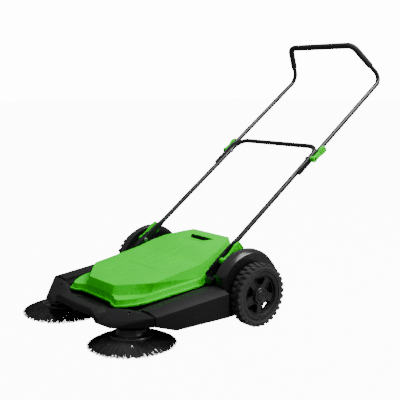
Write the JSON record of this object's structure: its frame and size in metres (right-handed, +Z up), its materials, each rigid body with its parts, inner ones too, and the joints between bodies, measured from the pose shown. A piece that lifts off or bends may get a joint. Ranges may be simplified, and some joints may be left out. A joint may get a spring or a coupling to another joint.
{
  "type": "walk behind sweeper",
  "caption": "Manual push sweeper with a lift-out hopper under a faceted lid, disc brushes at the front, a roller brush, belt drive from the wheels and a two-stage folding handle.",
  "frame": {"origin": "middle of the machine's length and width, on the floor under it", "axes": "+Z up; -Y is the direction of travel, so the disc brushes are at -Y and the grip at +Y; +X is the operator's left"},
  "size_m": [0.7956, 1.5087, 1.0801],
  "materials": {
    "lime_plastic": "semi-gloss moulded",
    "charcoal_plastic": "fine moulded grain",
    "black_plastic": "semi-matte moulded",
    "black_gloss_paint": "gloss black powder coat",
    "zinc_steel": "bright zinc plate",
    "rubber": "matt",
    "tyre_rubber": "matt moulded tread",
    "black_bristle": "polypropylene filament",
    "foam_rubber": "closed-cell foam"
  },
  "bodies": {
    "chassis": {"chassis_body": "charcoal_plastic", "brush_cover_left": "charcoal_plastic", "brush_cover_right": "charcoal_plastic", "cover_screw_left": "zinc_steel", "cover_screw_right": "zinc_steel", "front_bar": "charcoal_plastic", "front_grille": "black_plastic", "wheel_axle": "zinc_steel", "axle_bush_left": "black_plastic", "axle_bush_right": "black_plastic", "roller_bearing_left": "black_plastic", "roller_bearing_right": "black_plastic", "spindle_bearing_left": "black_plastic", "spindle_bearing_right": "black_plastic", "dust_flap": "rubber", "handle_bracket_left": "black_gloss_paint", "handle_bracket_right": "black_gloss_paint", "base_bolt_left": "zinc_steel", "base_bolt_right": "zinc_steel", "side_belt_left": "rubber", "side_belt_right": "rubber", "roller_belt": "rubber"},
    "hopper": {"hopper_lid": "lime_plastic", "grip_pocket": "lime_plastic", "hopper_tub": "black_plastic"},
    "wheel_left": {"tyre_left": "tyre_rubber", "wheel_rim_left": "black_plastic", "hub_cap_left": "black_plastic", "drive_pulley_left": "black_plastic"},
    "wheel_right": {"tyre_right": "tyre_rubber", "wheel_rim_right": "black_plastic", "hub_cap_right": "black_plastic", "drive_pulley_right": "black_plastic"},
    "disc_brush_left": {"brush_disc_left": "black_plastic", "brush_bristles_left": "black_bristle", "spindle_pulley_left": "black_plastic"},
    "disc_brush_right": {"brush_disc_right": "black_plastic", "brush_bristles_right": "black_bristle", "spindle_pulley_right": "black_plastic"},
    "roller": {"roller_core": "black_plastic", "roller_bristles": "black_bristle", "roller_pulley": "black_plastic"},
    "lower_frame": {"lower_frame_tube": "black_gloss_paint", "mid_bolt_left": "zinc_steel", "mid_bolt_right": "zinc_steel"},
    "upper_handle": {"upper_handle_tube": "black_gloss_paint", "foam_grip": "foam_rubber"},
    "base_lever_left": {"base_lever_left": "lime_plastic"},
    "base_lever_right": {"base_lever_right": "lime_plastic"},
    "mid_lever_left": {"mid_lever_left": "lime_plastic"},
    "mid_lever_right": {"mid_lever_right": "lime_plastic"}
  },
  "joints": [
    {"name": "hopper_lift", "type": "slide", "parent": "chassis", "child": "hopper", "axis": [0, 0, 1], "range_m": [0, 0.2]},
    {"name": "wheel_spin_left", "type": "hinge", "parent": "chassis", "child": "wheel_left", "pos_m": [0.35, -0.11644, 0.12], "axis": [1, 0, 0], "continuous": true},
    {"name": "wheel_spin_right", "type": "hinge", "parent": "chassis", "child": "wheel_right", "pos_m": [-0.35, -0.11644, 0.12], "axis": [1, 0, 0], "continuous": true},
    {"name": "disc_brush_spin_left", "type": "hinge", "parent": "chassis", "child": "disc_brush_left", "pos_m": [0.24, -0.59644, 0.00501], "axis": [-0.0279, 0, 0.9996], "continuous": true},
    {"name": "disc_brush_spin_right", "type": "hinge", "parent": "chassis", "child": "disc_brush_right", "pos_m": [-0.24, -0.59644, 0.00501], "axis": [0.0279, 0, 0.9996], "continuous": true},
    {"name": "roller_spin", "type": "hinge", "parent": "chassis", "child": "roller", "pos_m": [0, -0.23144, 0.048], "axis": [1, 0, 0], "continuous": true},
    {"name": "lower_frame_fold", "type": "hinge", "parent": "chassis", "child": "lower_frame", "pos_m": [0, -0.19014, 0.2383], "axis": [-1, 0, 0], "range_deg": [-140, 0]},
    {"name": "upper_handle_fold", "type": "hinge", "parent": "lower_frame", "child": "upper_handle", "pos_m": [0, 0.30342, 0.59165], "axis": [1, 0, 0], "range_deg": [-150, 0]},
    {"name": "base_lever_turn_left", "type": "hinge", "parent": "chassis", "child": "base_lever_left", "pos_m": [0.262, -0.19014, 0.2383], "axis": [1, 0, 0], "range_deg": [0, 100]},
    {"name": "base_lever_turn_right", "type": "hinge", "parent": "chassis", "child": "base_lever_right", "pos_m": [-0.262, -0.19014, 0.2383], "axis": [1, 0, 0], "range_deg": [0, 100]},
    {"name": "mid_lever_turn_left", "type": "hinge", "parent": "upper_handle", "child": "mid_lever_left", "pos_m": [0.268, 0.30342, 0.59165], "axis": [1, 0, 0], "range_deg": [0, 100]},
    {"name": "mid_lever_turn_right", "type": "hinge", "parent": "upper_handle", "child": "mid_lever_right", "pos_m": [-0.268, 0.30342, 0.59165], "axis": [1, 0, 0], "range_deg": [0, 100]}
  ],
  "couplings": [
    {"joint": "disc_brush_spin_left", "follows": "wheel_spin_left", "ratio": -1.8718},
    {"joint": "disc_brush_spin_right", "follows": "wheel_spin_right", "ratio": 1.8718},
    {"joint": "roller_spin", "follows": "wheel_spin_left", "ratio": -3.8}
  ]
}
